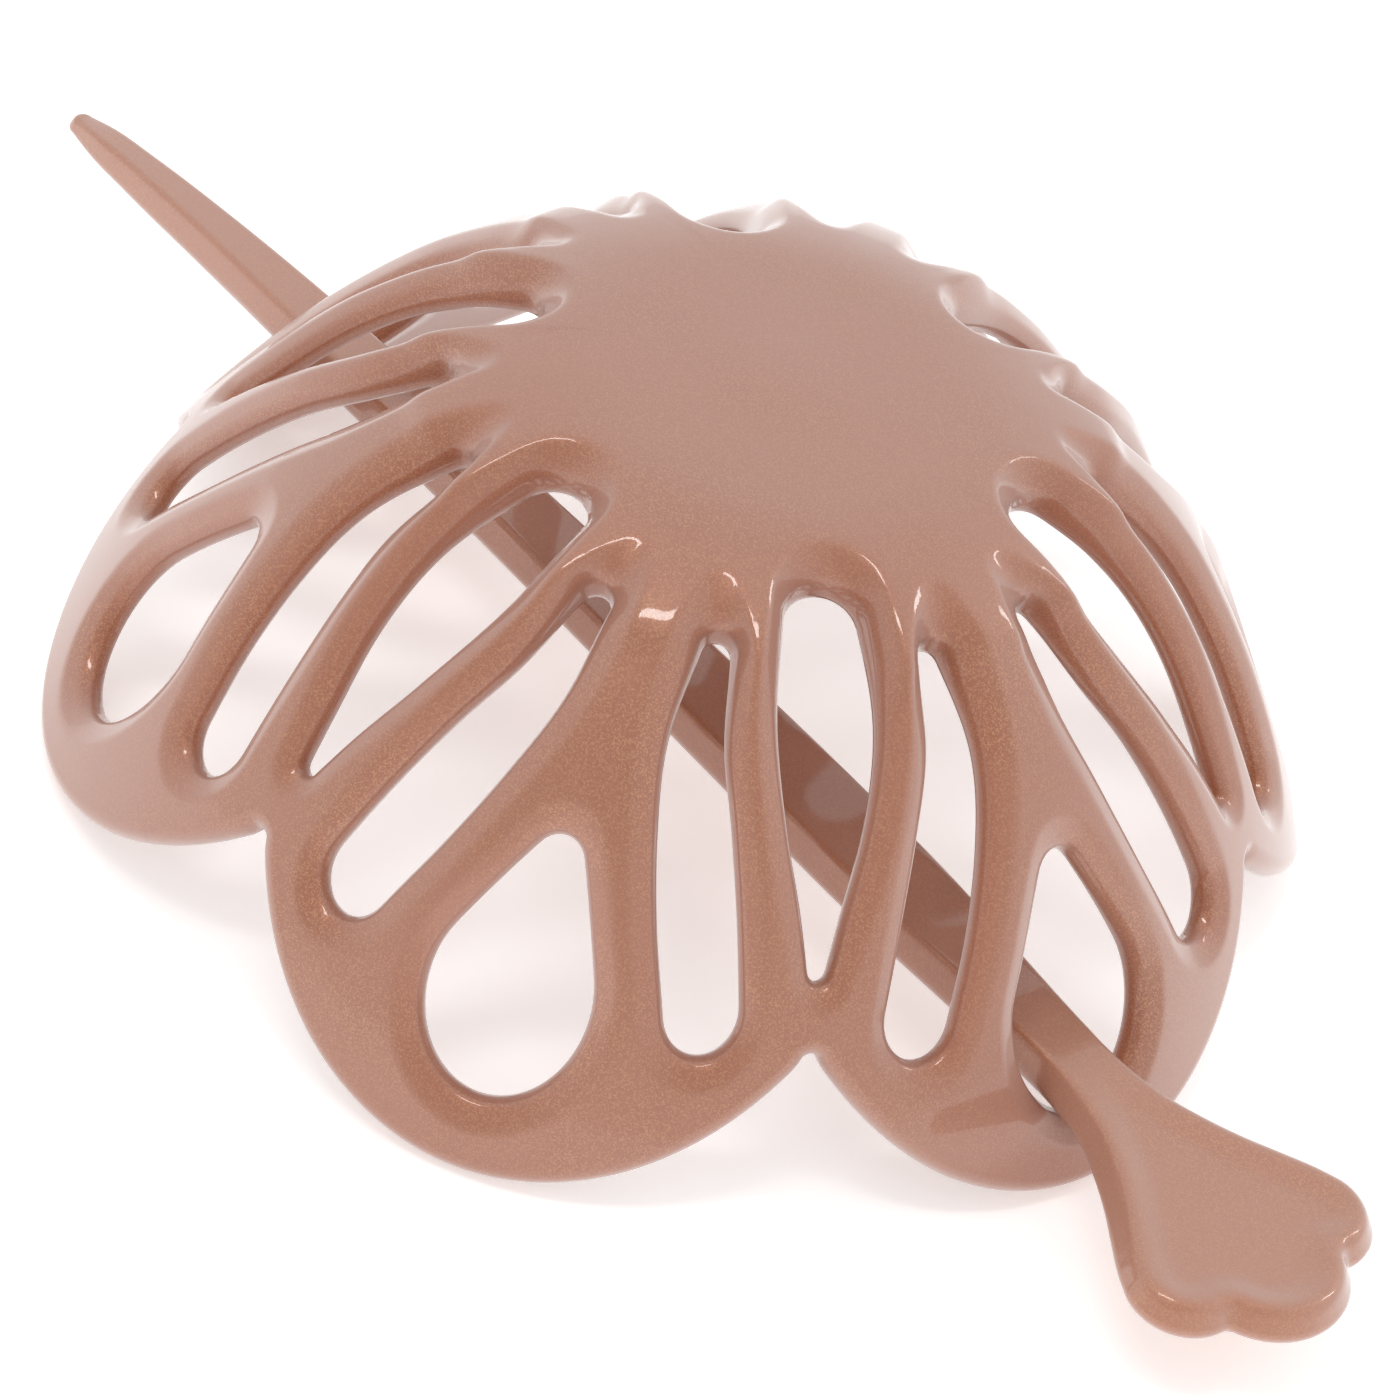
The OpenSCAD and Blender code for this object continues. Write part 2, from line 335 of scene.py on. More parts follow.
def edge_samples(edge, border_parts, closed):
    """Points of an edge that face the border's points: the edge is cut at the points
    nearest to the border's corners, and each stretch is read partly at even steps and
    partly at the points nearest to the border's points."""
    corners = [part[0] for part in border_parts] + [border_parts[-1][-1]]
    edge = edge[:-1] if closed else edge
    spots = [int(np.argmin(np.hypot(*(edge - c).T))) for c in corners]
    if closed:
        edge = np.roll(edge, -spots[0], axis=0)
        spots = [(k - spots[0]) % len(edge) for k in spots[:-1]] + [len(edge)]
        edge = np.concatenate([edge, edge[:1]])
    else:
        spots[0], spots[-1] = 0, len(edge) - 1
    at = []
    for a, b, part in zip(spots[:-1], spots[1:], border_parts):
        apart = np.linalg.norm(part[:, None] - edge[a:b + 1], axis=-1)
        facing = np.maximum.accumulate(np.argmin(apart, axis=1))
        for _ in range(facing_rounds):
            facing = np.convolve(np.pad(facing, 1, mode="edge"), [0.25, 0.5, 0.25], mode="valid")
        facing = a + (facing - facing[0]) * (b - a) / max(facing[-1] - facing[0], 1)
        at.append((facing_pull * facing + (1 - facing_pull) * np.linspace(a, b, len(part)))[:-1])
    at = np.concatenate([*at, [spots[-1]]])
    whole = np.arange(len(edge))
    before = np.interp(at - 1.0, whole, edge[:, 0]), np.interp(at - 1.0, whole, edge[:, 1])
    after = np.interp(at + 1.0, whole, edge[:, 0]), np.interp(at + 1.0, whole, edge[:, 1])
    here = np.stack([np.interp(at, whole, edge[:, 0]), np.interp(at, whole, edge[:, 1])], -1)
    way = np.stack([after[0] - before[0], after[1] - before[1]], -1)
    if closed:
        way[0] = way[-1] = edge[1] - edge[-2]
    return here, way


# Rows from a rounding out to the border, and the shares of them that end at the near and
# at the far side of the shoulder, which lie this far before it and after it. Without a
# dish the two lie at fixed shares of the way.
outer_rows, inner_rows = 12, 3
near_rows, far_rows = 0.3, 0.75
plain_near, plain_far = 0.33, 0.67
shoulder_before, shoulder_after = 0.5, 0.4


def cell_grid(edge, border_parts, dish=None, closed=False, ends=(None, None), outer=True):
    """Grid of one cell: rows that keep their distance from the edge over its rounding,
    then rows that blend into the cell's border. A row's distance is measured on the
    dome, where a bearing counts by the wall's radius and not by the flat layout. The
    outer face's rows lie closer together near the shoulder of the dish. Columns at the
    ends are kept on the bearings given for them."""
    border = np.concatenate([part[:-1] for part in border_parts] + [border_parts[-1][-1:]])
    here, way = edge_samples(edge, border_parts, closed)
    s = np.hypot(here[:, 0], here[:, 1])
    bearing = np.arctan2(here[:, 0], here[:, 1])
    radius = wall_line(s)[0]
    down = (way[:, 0] * np.sin(bearing) + way[:, 1] * np.cos(bearing))
    across = (way[:, 0] * np.cos(bearing) - way[:, 1] * np.sin(bearing)) * radius / s
    size = np.hypot(down, across)
    rows = []
    rounding = edge_round if dish else rim_round
    for turn in outer_turns if outer else inner_turns:
        d = rounding * (1 - math.cos(turn))
        new_s = s - d * across / size
        new_bearing = bearing + d * down / size / radius
        rows.append(np.stack([new_s * np.sin(new_bearing), new_s * np.cos(new_bearing)], -1))
    for row in rows:
        for column, line in zip((0, -1), ends):
            if line is not None:
                row[column] = np.hypot(*row[column]) * np.array([math.sin(line), math.cos(line)])
    span = border - rows[-1]
    length = np.hypot(span[:, 0], span[:, 1])
    near, far = plain_near * length, plain_far * length
    if dish and outer:
        tries = np.linspace(0.0, 1.0, 41)[:, None, None]
        beyond = inside_dish(rows[-1] + span * tries, dish) < 0
        crossing = np.where(beyond.any(0), tries[np.argmax(beyond, 0), 0, 0], 1.0) * length
        near = np.clip(crossing - shoulder_before, 0.2 * length, 0.6 * length)
        far = np.clip(crossing + shoulder_after, near + 0.2 * length, 0.85 * length)
    last = rows[-1]
    for share in np.linspace(0.0, 1.0, 1 + (outer_rows if outer else inner_rows))[1:]:
        if share < near_rows:
            step = near * share / near_rows
        elif share > far_rows:
            step = far + (length - far) * (share - far_rows) / (1 - far_rows)
        else:
            step = near + (far - near) * (share - near_rows) / (far_rows - near_rows)
        rows.append(last + span * (step / length)[:, None])
    return np.array(rows)


def reversed_line(name):
    """A rib's middle line read from its other end."""
    return rib_lines[name][::-1]


half_tear = teardrop[:half_edge_points]
half_seam = turned(mirrored(seam_along[:half_edge_points]), half_petal)[::-1]


def petal_cells(outer):
    """Grids of the cells of half a petal, for the outer or the inner face."""
    return [
        cell_grid(half_tear, [reversed_line("leaf_tear"), rib_lines["rim_tear"]],
                  tear_dish, ends=(0.0, 0.0), outer=outer),
        cell_grid(leaf_slot, [
            rib_lines["leaf_seam"], rib_lines["rim_leaf"], rib_lines["leaf_tear"],
            rib_lines["stem"], crown_left], leaf_dish, closed=True, outer=outer),
        cell_grid(half_seam, [
            reversed_line("rim_seam"), reversed_line("leaf_seam"), crown_right],
            seam_dish, ends=(half_petal, half_petal), outer=outer),
        cell_grid(rim_edge, [
            reversed_line("rim_tear"), reversed_line("rim_leaf"), rib_lines["rim_seam"]],
            ends=(0.0, half_petal), outer=outer)]


# The crown's sector is that ring drawn in to the middle.
crown_ring = np.concatenate([crown_left[:-1], crown_right])
crown_rows = np.append(np.linspace(1.0, 0.08, 12), 0.0)
crown_cell = crown_rows[:, None, None] * crown_ring


# The outer face stands this far over the middle layer at the openings' edges, and then
# climbs by the relief: rows are [distance from the crown's middle, relief]. The crown is
# a flatter cap than the wall, and falls off over a rounded step to the lower ribs. The
# inner face lies under the middle layer by its depth, less its share of that climb.
edge_rise, inner_depth, inner_share = 0.55, 1.05, 0.55
relief_line = curve_through([
    [0, 1.66], [6, 1.73], [11, 2.06], [15.5, 2.5], [19, 2.62], [22, 2.63], [23.4, 2.57], [24.2, 2.47],
    [24.9, 2.24], [25.6, 1.96], [26.4, 1.78], [28, 1.58], [31, 1.32], [35, 1.2], [70, 1.2]], 700)
shoulder_softness, ridge_sharpness, dish_hollow = 0.16, 3.5, 0.7
dishes = [tear_dish, leaf_dish, seam_dish]
dishes += [(mirrored(edge), circles * np.array([-1.0, 1.0, 1.0])) for edge, circles in dishes[1:]]


def wall_rises(flat):
    """Rise of the outer face, depth of the inner face and the dishes' share of the relief.
    Both follow a quarter ellipse from the nearest edge over the rounding. In a dish the
    outer face drops by the relief times 1 - (1 - share) to the power of the hollow. The
    share is the way in from the shoulder over that way and the gap to the edge, and the
    way in has a soft corner: softness times the log of 1 + exp(way / softness). Drops
    meet in a rounded ridge, as the log of 1 plus the sum of exp(sharpness times drop) - 1,
    over sharpness. The inner face follows a part of what the outer face climbs."""
    points = on_wall(flat)
    s = np.hypot(flat[:, 0], flat[:, 1])
    relief = np.interp(s, relief_line[:, 0], relief_line[:, 1])
    # Every third point of the rim, and every fourth of an opening, is close enough here.
    nearest = distance_to(points, on_wall(rim_edge[::3])) / rim_round
    total = np.ones(len(flat))
    for dish in dishes:
        gap = distance_to(points, on_wall(dish[0][::4]))
        nearest = np.minimum(nearest, gap / edge_round)
        way_in = shoulder_softness * np.logaddexp(0.0, inside_dish(flat, dish) / shoulder_softness)
        drop = relief * (1 - (gap / (gap + way_in)) ** dish_hollow)
        total += np.expm1(ridge_sharpness * drop)
    dished = np.log(total) / ridge_sharpness
    climb = relief - dished
    shape = np.sqrt(1 - (1 - np.clip(nearest, 0.0, 1.0)) ** 2)
    return shape * (edge_rise + climb), shape * (inner_depth - inner_share * climb), dished / relief


def face_rows(shape, first):
    """Corner numbers of the quads of a grid whose points are numbered from first."""
    rows, columns = shape
    number = first + np.arange(rows * columns).reshape(rows, columns)
    corners = [number[:-1, :-1], number[:-1, 1:], number[1:, 1:], number[1:, :-1]]
    return np.stack(corners, -1).reshape(-1, 4)


def half_petal_face(outer):
    """Outer or inner face of half a petal as points, quads that look away from the wall's
    middle layer, and how dished each point is, which is nothing on the inner face. Row 0
    of each cell but the crown lies on the edge, at no rise."""
    grids = petal_cells(outer) + [crown_cell]
    flat = np.concatenate([grid.reshape(-1, 2) for grid in grids])
    first = np.cumsum([0] + [grid.shape[0] * grid.shape[1] for grid in grids])
    quad = np.concatenate([face_rows(grid.shape[:2], n) for grid, n in zip(grids, first)])
    on_edge = np.concatenate([
        (np.arange(grid.shape[0]) == 0).repeat(grid.shape[1]) & (grid is not crown_cell)
        for grid in grids])
    rise, depth, dished = wall_rises(flat)
    offset = np.where(on_edge, 0.0, rise if outer else -depth)
    middle, away = on_wall(flat), on_wall(flat, 1.0)
    a, b, c, d = (middle[quad[:, k]] for k in range(4))
    lifted = away[quad[:, 0]] - middle[quad[:, 0]]
    facing = ((np.cross(c - a, d - b) * lifted).sum(-1) > 0) == outer
    return on_wall(flat, offset), np.where(facing[:, None], quad, quad[:, ::-1]), dished * outer


def joined_mesh(name, points, quads, dish_shade_glint):
    """Mesh of all the points in mm, with points at one place made one and with quads that
    have lost a corner by that turned into triangles. Faces are shaded smooth, and each
    point carries how much of the dishes' painted shade and painted glint it gets."""
    same_place_digits = 4
    keys = np.round(points, same_place_digits)
    _, index, number = np.unique(keys, axis=0, return_index=True, return_inverse=True)
    points, quads = points[index], number.reshape(-1)[quads]
    doubled = quads == np.roll(quads, -1, axis=1)
    faces = quads[~doubled.any(1)].tolist()
    faces += [q[~gone].tolist() for q, gone in zip(quads, doubled) if gone.sum() == 1]
    mesh = bpy.data.meshes.new(name)
    mesh.from_pydata((points * MM).tolist(), [], faces)
    mesh.update()
    mesh.shade_smooth()
    mesh.attributes.new("dish_shade_glint", "FLOAT", "POINT").data.foreach_set("value", dish_shade_glint[index])
    return mesh


faces = [half_petal_face(True), half_petal_face(False)]
all_points, all_quads, all_dished, count = [], [], [], 0
for k in range(petal_count):
    c, s = math.cos(2 * half_petal * k), math.sin(2 * half_petal * k)
    spin = np.array([[c, s, 0], [-s, c, 0], [0, 0, 1]])
    for side in (1.0, -1.0):
        for points, quads, dished in faces:
            all_points.append(points * np.array([1.0, side, 1.0]) @ spin)
            all_quads.append((quads if side > 0 else quads[:, ::-1]) + count)
            all_dished.append(dished)
            count += len(points)
cage_mesh = joined_mesh("cage_moulding", np.concatenate(all_points), np.concatenate(all_quads),
                        np.concatenate(all_dished).astype(np.float32))
cage = bpy.data.objects.new("cage_moulding", cage_mesh)
bpy.context.scene.collection.objects.link(cage)
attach(cage, "cage")
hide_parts("cage")


def new_node(tree, kind, place, **inputs):
    """Node of a kind at a place in the tree, with values set on its named inputs."""
    node = tree.nodes.new(kind)
    node.location = place
    for key, value in inputs.items():
        node.inputs[key.replace("_", " ")].default_value = value
    return node


# Colours of the powder's golden flakes, of the warmer brown that is painted into the
# dishes as shade, and of the paler pink that is painted on faces seen askew as a sheen
# for the white room's reflection.
fleck_gold = (0.75, 0.42, 0.22, 1)
dish_shade_brown = (0.385, 0.105, 0.04, 1)
askew_sheen_pink = (0.47, 0.3, 0.258, 1)


def pearl_group():
    """Shader group for plastic with pearl powder in it. A slow noise lets the powder lie
    thicker in some places, as it does where the melt flowed, and the colour is deeper
    there. A fine cell pattern picks out flakes, each with a random brightness. Out come
    a colour, a mask of the flakes and a height for the faint unevenness of the surface."""
    group = bpy.data.node_groups.new("pearl_plastic", "ShaderNodeTree")
    face = group.interface
    for name, kind, value in (
            ("Body", "NodeSocketColor", (0.4, 0.16, 0.1, 1)),
            ("Deep", "NodeSocketColor", (0.35, 0.12, 0.07, 1)),
            ("Fleck", "NodeSocketColor", fleck_gold),
            ("Fleck Share", "NodeSocketFloat", 0.3),
            ("Flake Size", "NodeSocketFloat", 0.1),
            ("Cloud Size", "NodeSocketFloat", 12.0)):
        socket = face.new_socket(name, in_out="INPUT", socket_type=kind)
        socket.default_value = value
    face.new_socket("Color", in_out="OUTPUT", socket_type="NodeSocketColor")
    face.new_socket("Flakes", in_out="OUTPUT", socket_type="NodeSocketFloat")
    face.new_socket("Height", in_out="OUTPUT", socket_type="NodeSocketFloat")
    link = group.links.new
    given = new_node(group, "NodeGroupInput", (-900, 0))
    place = new_node(group, "ShaderNodeTexCoord", (-900, 300))

    def per_mm(socket, x, y):
        scale = new_node(group, "ShaderNodeMath", (x, y))
        scale.operation = "DIVIDE"
        scale.inputs[0].default_value = 1 / MM
        link(socket, scale.inputs[1])
        return scale.outputs[0]

    def ranged(socket, x, y, low, high, low_out, high_out):
        node = new_node(group, "ShaderNodeMapRange", (x, y))
        ends = {"From Min": low, "From Max": high, "To Min": low_out, "To Max": high_out}
        for key, value in ends.items():
            node.inputs[key].default_value = value
        link(socket, node.inputs["Value"])
        return node.outputs[0]

    def product(one, two, x, y):
        node = new_node(group, "ShaderNodeMath", (x, y))
        node.operation = "MULTIPLY"
        link(one, node.inputs[0])
        link(two, node.inputs[1])
        return node.outputs[0]

    def blended(factor, one, two, x, y):
        node = new_node(group, "ShaderNodeMix", (x, y))
        node.data_type = "RGBA"
        link(factor, node.inputs["Factor"])
        link(one, node.inputs["A"])
        link(two, node.inputs["B"])
        return node.outputs["Result"]

    flake = new_node(group, "ShaderNodeTexVoronoi", (-450, 300), Randomness=1.0)
    link(place.outputs["Object"], flake.inputs["Vector"])
    link(per_mm(given.outputs["Flake Size"], -680, 300), flake.inputs["Scale"])
    cloud = new_node(group, "ShaderNodeTexNoise", (-450, 0), Detail=3.0, Roughness=0.6)
    link(place.outputs["Object"], cloud.inputs["Vector"])
    link(per_mm(given.outputs["Cloud Size"], -680, 0), cloud.inputs["Scale"])
    bright = new_node(group, "ShaderNodeSeparateColor", (-250, 300))
    link(flake.outputs["Color"], bright.inputs[0])
    thick = ranged(cloud.outputs["Fac"], -250, 0, 0.32, 0.68, 0.0, 1.0)
    pick = ranged(bright.outputs[0], -50, 300, 0.45, 1.0, 0.0, 1.0)
    strength = ranged(thick, -50, 100, 0.0, 1.0, 0.4, 1.0)
    flakes = product(product(pick, strength, 150, 250), given.outputs["Fleck Share"], 300, 250)
    body = blended(thick, given.outputs["Body"], given.outputs["Deep"], 150, -50)
    put = new_node(group, "NodeGroupOutput", (700, 0))
    link(blended(flakes, body, given.outputs["Fleck"], 450, 100), put.inputs["Color"])
    link(flakes, put.inputs["Flakes"])
    link(bright.outputs[1], put.inputs["Height"])
    return group


pearl = pearl_group()


def pearl_plastic(name, body, deep, fleck_share):
    """Glossy moulded plastic over pearl powder: the shared group gives the powder's
    colour and glint. Where the mesh says that it is dished, a warmer brown is mixed in as
    painted shade and more golden flakes as painted glint. A paler pink is painted on as a
    sheen the more askew a face is seen, and a clear smooth coat gives the crisp lights."""
    material = bpy.data.materials.new(name)
    material.use_nodes = True
    tree = material.node_tree
    link = tree.links.new
    shader = tree.nodes["Principled BSDF"]
    powder = new_node(tree, "ShaderNodeGroup", (-750, 200))
    powder.node_tree = pearl
    powder.inputs["Body"].default_value = body
    powder.inputs["Deep"].default_value = deep
    powder.inputs["Fleck"].default_value = fleck_gold
    # Painted shade and glint: by the mesh's dish share, a warmer brown and more golden flakes are
    # mixed into the dishes.
    dish_shade_glint = new_node(tree, "ShaderNodeAttribute", (-1150, 300))
    dish_shade_glint.attribute_name = "dish_shade_glint"
    share = new_node(tree, "ShaderNodeMath", (-950, 300))
    share.operation = "MULTIPLY_ADD"
    share.inputs[1].default_value = 0.45
    share.inputs[2].default_value = fleck_share
    link(dish_shade_glint.outputs["Fac"], share.inputs[0])
    link(share.outputs[0], powder.inputs["Fleck Share"])
    powder.inputs["Flake Size"].default_value = 0.1
    dish_shade = new_node(tree, "ShaderNodeMath", (-750, 450))
    dish_shade.operation = "MULTIPLY"
    dish_shade.inputs[1].default_value = 0.45
    link(dish_shade_glint.outputs["Fac"], dish_shade.inputs[0])
    warmer = new_node(tree, "ShaderNodeMix", (-500, 200))
    warmer.data_type = "RGBA"
    link(dish_shade.outputs[0], warmer.inputs["Factor"])
    link(powder.outputs["Color"], warmer.inputs["A"])
    warmer.inputs["B"].default_value = dish_shade_brown
    # Painted sheen: the more askew a face is seen, the more its colour turns to a paler pink,
    # standing in for the white room's reflection.
    askew = new_node(tree, "ShaderNodeLayerWeight", (-500, 400), Blend=0.5)
    paler = new_node(tree, "ShaderNodeMix", (-250, 300))
    paler.data_type = "RGBA"
    link(askew.outputs["Facing"], paler.inputs["Factor"])
    link(warmer.outputs["Result"], paler.inputs["A"])
    paler.inputs["B"].default_value = askew_sheen_pink
    link(paler.outputs["Result"], shader.inputs["Base Color"])
    metallic = new_node(tree, "ShaderNodeMath", (-250, 50))
    metallic.operation = "MULTIPLY_ADD"
    metallic.inputs[1].default_value = 0.5
    metallic.inputs[2].default_value = 0.2
    link(powder.outputs["Flakes"], metallic.inputs[0])
    link(metallic.outputs[0], shader.inputs["Metallic"])
    bump = new_node(tree, "ShaderNodeBump", (-250, -200), Strength=0.15, Distance=0.02 * MM)
    link(powder.outputs["Height"], bump.inputs["Height"])
    link(bump.outputs[0], shader.inputs["Normal"])
    shader.inputs["Roughness"].default_value = 0.42
    shader.inputs["Coat Weight"].default_value = 1.0
    shader.inputs["Coat Roughness"].default_value = 0.06
    shader.inputs["Coat IOR"].default_value = 1.52
    shader.inputs["IOR"].default_value = 1.5
    return material


cage_mesh.materials.append(
    pearl_plastic("cage_plastic", (0.375, 0.144, 0.082, 1), (0.345, 0.124, 0.064, 1), 0.36))


# Hair stick. A flat, gently bowed bar of the same plastic, flat on top with sloping
# sides and rounded below, that tapers to a round tip and flares at the other end into
# a paddle with three lobes and a shallow dish, to hold it by.
stick_height, stick_side, stick_bow, tip_dip = 8.9, -0.8, 3.4, 0.7
# Each row is [along, half width below, half width on top, thickness].
stick_rows = np.array([
    [-72.25, 1.0, 0.7, 1.4], [-70, 1.35, 1, 2], [-65, 1.72, 1.25, 2.6], [-56, 2.15, 1.65, 3.1],
    [-45, 2.6, 2.1, 3.3], [-22, 3.1, 2.65, 3.4], [0, 3.65, 3.2, 3.4], [14, 3.85, 3.4, 3.4],
    [25, 3.75, 3.3, 3.4], [33, 3.3, 2.8, 3.4], [40, 2.95, 2.4, 3.4], [44, 3, 2.4, 3.3],
    [48, 3.85, 3.15, 3.1], [50.5, 5, 4.15, 3.1], [53.3, 6.55, 5.6, 3], [55.5, 7.95, 7, 2.9],
    [58, 9.48, 8.55, 2.8], [59.6, 10.233, 9.3, 2.8]])
# Each lobe is (along, aside, radius). The paddle starts along the bar and is fully there
# after its flare, and so does its dish. The tip dips from dip_start on.
end_lobe, side_lobe, notch_round = (62.6, 0.0, 6.3), (61.1, 6.15, 4.35), 0.6
paddle_start, paddle_flare = 44.0, 8.0
dish_start, dish_flare, dish_depth, dish_edge, dish_width = 43.0, 9.0, 0.45, 0.4, 2.4
under_rounding, top_rounding, paddle_rounding = 1.2, 0.45, 0.2
dip_start, dip_run = 40.0, 33.0
# The bar's middle line follows its edge up to the turn, and then runs out to its end.
spine_turn, spine_end = 57.5, 62.5
under_steps, over_steps = 4, 10


def arc(middle, radius, start, end, count):
    """Points of a circle from one angle to another."""
    angle = np.linspace(start, end, count)
    return np.array(middle) + radius * np.stack([np.cos(angle), np.sin(angle)], -1)


def stick_side_line():
    """Edge of one side of the stick seen from above, as rows of along, aside, lean of the
    side and thickness. A round tip comes first and then the bar's rows. The side lobe,
    a small hollow rounding that touches both lobes, and half of the end lobe follow. The
    rounding's middle is as far from each lobe's middle as both radii together."""
    tip_steps, bar_steps, arc_steps, hollow_steps = 24, 700, 200, 30
    bar = curve_through(stick_rows, bar_steps)
    bar = np.stack([bar[:, 0], bar[:, 1], bar[:, 1] - bar[:, 2], bar[:, 3]], -1)
    tip = arc((bar[0, 0], 0.0), bar[0, 1], math.pi, math.pi / 2, tip_steps)[:-1]
    end, side = np.array(end_lobe[:2]), np.array(side_lobe[:2])
    apart = np.hypot(*(end - side))
    way = (end - side) / apart
    to_side, to_end = side_lobe[2] + notch_round, end_lobe[2] + notch_round
    along = (apart**2 + to_side**2 - to_end**2) / (2 * apart)
    notch = side + way * along + np.array([-way[1], way[0]]) * math.sqrt(to_side**2 - along**2)
    out_of_side = math.atan2(notch[1] - side[1], notch[0] - side[0])
    out_of_end = math.atan2(notch[1] - end[1], notch[0] - end[0])
    out_of_bar = math.atan2(bar[-1, 1] - side[1], bar[-1, 0] - side[0])
    lobes = np.concatenate([
        arc(side, side_lobe[2], out_of_bar, out_of_side, arc_steps)[1:],
        arc(notch, notch_round, out_of_side + math.pi, out_of_end + math.pi, hollow_steps)[1:],
        arc(end, end_lobe[2], out_of_end, 0.0, arc_steps)[1:]])
    before = np.column_stack([tip, np.tile(bar[0, 2:], (len(tip), 1))])
    after = np.column_stack([lobes, np.tile(bar[-1, 2:], (len(lobes), 1))])
    return np.concatenate([before, bar, after])


def eased_steps(line):
    """The same rows read closer together round the tip and on the paddle: the count of
    points up to a place is the sum of each short step over the spacing wanted there."""
    step = np.hypot(*np.diff(line[:, :2], axis=0).T)
    along, wanted = [-73.5, -72, -66, 42, 52, 60], [0.08, 0.3, 0.9, 0.9, 0.4, 0.3]
    spacing = np.interp(line[1:, 0], along, wanted)
    taken = np.concatenate([[0.0], np.cumsum(step / spacing)])
    want = np.linspace(0.0, taken[-1], int(taken[-1]))
    return np.stack([np.interp(want, taken, line[:, k]) for k in range(line.shape[1])], -1)


def stick_half():
    """Points and quads of the half of the stick on one side of its middle line. Rows run
    from the middle line below, out round the lower edge, up the leaning side, round the
    upper edge and back in over the top, which dips in the paddle by a soft step of the
    distance from its edge."""
    line = eased_steps(stick_side_line())
    edge, lean, thick = line[:, :2], line[:, 2], line[:, 3]
    way = np.gradient(edge, axis=0)
    way /= np.linalg.norm(way, axis=1)[:, None]
    inward = np.stack([way[:, 1], -way[:, 0]], -1)
    inward[0], inward[-1] = (1, 0), (-1, 0)
    width = np.interp(edge[:, 0], stick_rows[:, 0], stick_rows[:, 1])
    half = thick / 2
    low_round = np.minimum(under_rounding, np.minimum(0.5 * width, 0.4 * thick))
    on_paddle = soft_step((edge[:, 0] - paddle_start) / paddle_flare)
    top_round = np.minimum(top_rounding + paddle_rounding * on_paddle, 0.45 * width)
    wall = thick - low_round
    ledge_in, ledge_up = lean * (1 - top_round / wall), half - top_round
    rows = []
    for turn in np.linspace(0.0, math.pi / 2, 6):
        rows.append((low_round * (1 - math.sin(turn)), low_round * (1 - math.cos(turn)) - half))
    for share in (0.25, 0.5, 0.75):
        rows.append((share * ledge_in, low_round - half + share * (ledge_up + half - low_round)))
    for t in np.linspace(0.0, 1.0, 6):
        near, mid, far = (1 - t) ** 2, 2 * t * (1 - t), t**2
        rows.append((near * ledge_in + mid * lean + far * (lean + top_round),
                     near * ledge_up + (mid + far) * half))
    flat = np.array([edge + inset[:, None] * inward for inset, _ in rows])
    up = np.array([height for _, height in rows])
    widest = np.argmax(edge[:, 1])
    past = np.clip((np.arange(len(line)) - widest) / (len(line) - widest), 0, 1)
    spine = np.clip(edge[:, 0], stick_rows[0, 0], spine_turn) + past * (spine_end - spine_turn)
    spine = np.stack([spine, np.zeros_like(spine)], -1)
    under = np.array([spine + (flat[0] - spine) * k / under_steps for k in range(under_steps)])
    over = np.array([flat[-1] + (spine - flat[-1]) * (k + 1) / over_steps for k in range(over_steps)])
    gap = distance_to(over.reshape(-1, 2), edge).reshape(over.shape[:2])
    in_dish = soft_step((over[..., 0] - dish_start) / dish_flare)
    dip = dish_depth * soft_step((gap - lean - dish_edge) / dish_width) * in_dish
    flat = np.concatenate([under, flat, over])
    up = np.concatenate([np.tile(-half, (under_steps, 1)), up, half - dip])
    bow = stick_height - stick_bow * (flat[..., 0] / 100) ** 2
    bow -= tip_dip * (np.clip(-flat[..., 0] - dip_start, 0.0, None) / dip_run) ** 2
    points = np.stack([flat[..., 0], flat[..., 1], bow + up], -1)
    return points.reshape(-1, 3), face_rows(flat.shape[:2], 0)


half_points, half_quads = stick_half()
stick_points = np.concatenate([half_points, half_points * np.array([1.0, -1.0, 1.0])])
stick_points[:, 1] += stick_side
stick_quads = np.concatenate([half_quads[:, ::-1], half_quads + len(half_points)])
# The stick has no dishes round openings, so it gets none of their painted shade and glint.
stick_shade_glint = np.zeros(len(stick_points), np.float32)
stick_mesh = joined_mesh("stick_moulding", stick_points, stick_quads, stick_shade_glint)
stick_mesh.materials.append(
    pearl_plastic("stick_plastic", (0.445, 0.184, 0.106, 1), (0.415, 0.16, 0.086, 1), 0.46))
stick = bpy.data.objects.new("stick_moulding", stick_mesh)
bpy.context.scene.collection.objects.link(stick)
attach(stick, "stick")
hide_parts("hair_stick")


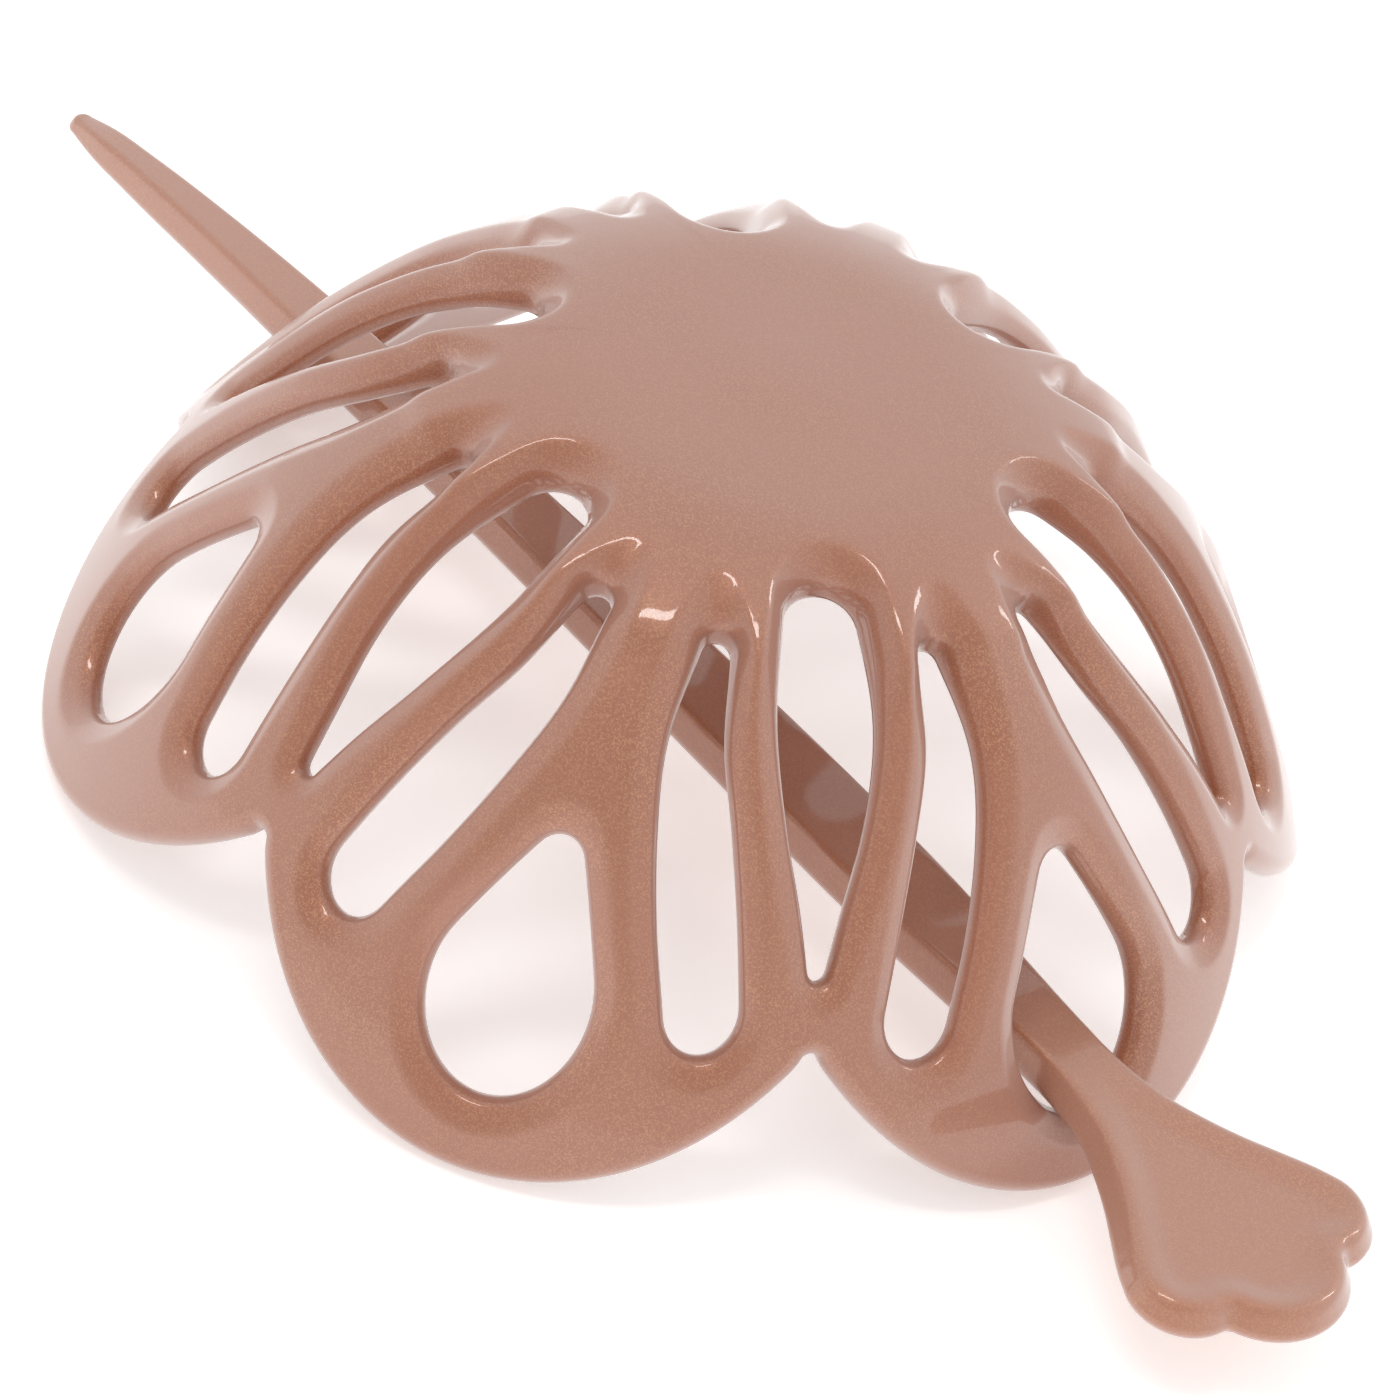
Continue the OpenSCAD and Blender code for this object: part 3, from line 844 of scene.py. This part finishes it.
# Studio. A pale floor under soft light from above, as for a catalogue picture. The floor
# glows a little, so that it stays nearly white in the cage's shade.
floor_mesh = bpy.data.meshes.new("floor")
half_floor = 3.0
floor_mesh.from_pydata(
    [(-half_floor, -half_floor, 0), (half_floor, -half_floor, 0),
     (half_floor, half_floor, 0), (-half_floor, half_floor, 0)], [], [(0, 1, 2, 3)])
floor = bpy.data.objects.new("floor", floor_mesh)
bpy.context.scene.collection.objects.link(floor)
paper = bpy.data.materials.new("paper")
paper.use_nodes = True
matte = paper.node_tree.nodes["Principled BSDF"]
matte.inputs["Base Color"].default_value = (0.9, 0.9, 0.9, 1)
matte.inputs["Roughness"].default_value = 0.9
matte.inputs["Emission Color"].default_value = (1, 1, 1, 1)
matte.inputs["Emission Strength"].default_value = 0.42
floor_mesh.materials.append(paper)

# The white room is dimmer high up on the camera's side, so that the near ribs keep their
# colour.
world = bpy.data.worlds.new("studio")
bpy.context.scene.world = world
world.use_nodes = True
room = world.node_tree
dim_way = np.array([0.24, -0.55, 0.80])
way_out = new_node(room, "ShaderNodeTexCoord", (-800, 0))
toward = new_node(room, "ShaderNodeVectorMath", (-600, 0))
toward.operation = "DOT_PRODUCT"
toward.inputs[1].default_value = dim_way / np.linalg.norm(dim_way)
room.links.new(way_out.outputs["Generated"], toward.inputs[0])
glow = new_node(room, "ShaderNodeMapRange", (-400, 0))
glow.interpolation_type = "SMOOTHSTEP"
glow.inputs["From Min"].default_value = 0.64
glow.inputs["From Max"].default_value = 0.94
glow.inputs["To Min"].default_value = 0.98
glow.inputs["To Max"].default_value = 0.67
room.links.new(toward.outputs["Value"], glow.inputs["Value"])
room.links.new(glow.outputs[0], room.nodes["Background"].inputs["Strength"])
room.nodes["Background"].inputs["Color"].default_value = (1, 1, 1, 1)
bpy.context.scene.view_settings.view_transform = "Standard"


def soft_light(name, place, size, power, spin=0.0):
    """Oblong lamp at a place in metres that faces the dome, spun about its own axis by
    some degrees. Its size is its width and its length."""
    data = bpy.data.lights.new(name, "AREA")
    data.shape = "RECTANGLE"
    data.size, data.size_y = size
    data.energy = power
    lamp = bpy.data.objects.new(name, data)
    bpy.context.scene.collection.objects.link(lamp)
    dome_middle = Vector((0.0, 0.0, 0.02))
    look = dome_middle - Vector(place)
    turn = look.to_track_quat("-Z", "Y").to_matrix().to_4x4()
    lamp.matrix_world = Matrix.Translation(place) @ turn @ Matrix.Rotation(math.radians(spin), 4, "Z")


soft_light("overhead", (0.02, -0.30, 0.97), (0.11, 0.42), 1.5, spin=-38)
soft_light("far side", (0.30, 0.74, 0.62), (0.06, 0.3), 0.5)
